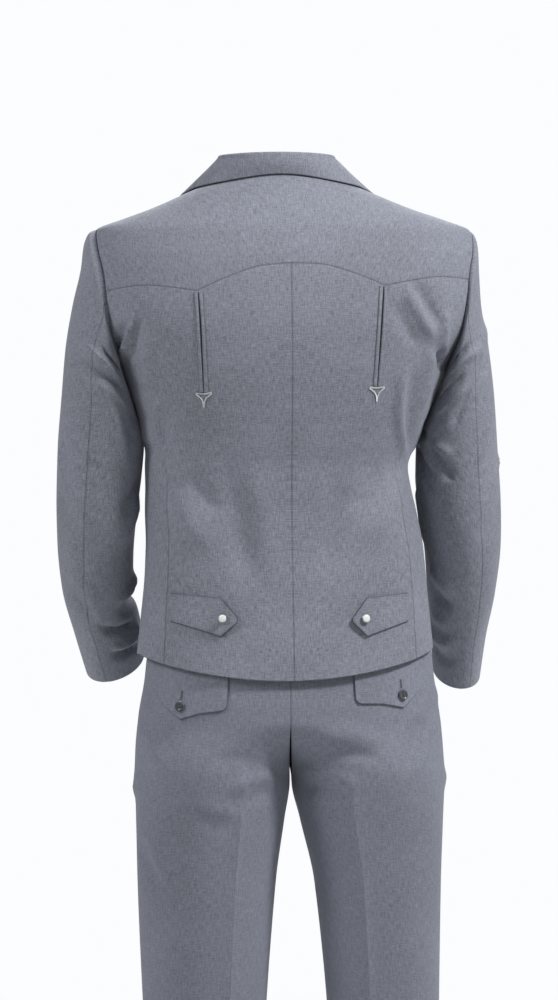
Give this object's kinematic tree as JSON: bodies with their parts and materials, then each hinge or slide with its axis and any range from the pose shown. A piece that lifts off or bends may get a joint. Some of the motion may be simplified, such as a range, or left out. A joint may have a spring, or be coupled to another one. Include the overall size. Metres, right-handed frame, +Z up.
{
  "type": "western suit",
  "caption": "Worn two-piece western suit: short jacket with scalloped back yoke, piped slits with stitched arrowheads and snap half-belt tabs, over straight trousers with pointed pocket flaps.",
  "frame": {"origin": "point between the shoulders, level with the base of the neck, where the wearer's shoulders carry the jacket", "axes": "+Z up, +X to the wearer's right, +Y to the wearer's front, so the back of the suit faces -Y"},
  "size_m": [0.5444, 0.3171, 1.5713],
  "materials": {
    "jacket_cloth": "heathered blue-grey suiting, two-tone plain weave with fine slubs, soft sheen",
    "trouser_cloth": "the same heathered suiting, a little thinner, with pressed creases",
    "silver_thread": "silver-grey satin embroidery",
    "pearl_snap": "white pearl cap in a thin metal rim",
    "dark_button": "dark grey four-hole button with a raised rim"
  },
  "bodies": {
    "root": {"back_yoke": "jacket_cloth", "collar": "jacket_cloth", "back_left": "jacket_cloth", "side_left": "jacket_cloth", "front_left": "jacket_cloth", "lapel_left": "jacket_cloth", "top_sleeve_left": "jacket_cloth", "under_sleeve_left": "jacket_cloth", "welt_left_inner": "jacket_cloth", "welt_left_outer": "jacket_cloth", "tab_left": "jacket_cloth", "back_right": "jacket_cloth", "side_right": "jacket_cloth", "front_right": "jacket_cloth", "lapel_right": "jacket_cloth", "top_sleeve_right": "jacket_cloth", "under_sleeve_right": "jacket_cloth", "welt_right_inner": "jacket_cloth", "welt_right_outer": "jacket_cloth", "tab_right": "jacket_cloth", "trouser_back_left": "trouser_cloth", "trouser_front_left": "trouser_cloth", "pocket_flap_left": "trouser_cloth", "trouser_back_right": "trouser_cloth", "trouser_front_right": "trouser_cloth", "pocket_flap_right": "trouser_cloth", "waistband": "trouser_cloth", "fly": "trouser_cloth", "arrowhead_left": "silver_thread", "arrowhead_right": "silver_thread", "snap_left": "pearl_snap", "snap_right": "pearl_snap", "pocket_button_left": "dark_button", "pocket_button_right": "dark_button", "front_button_upper": "dark_button", "front_button_lower": "dark_button"}
  },
  "joints": []
}
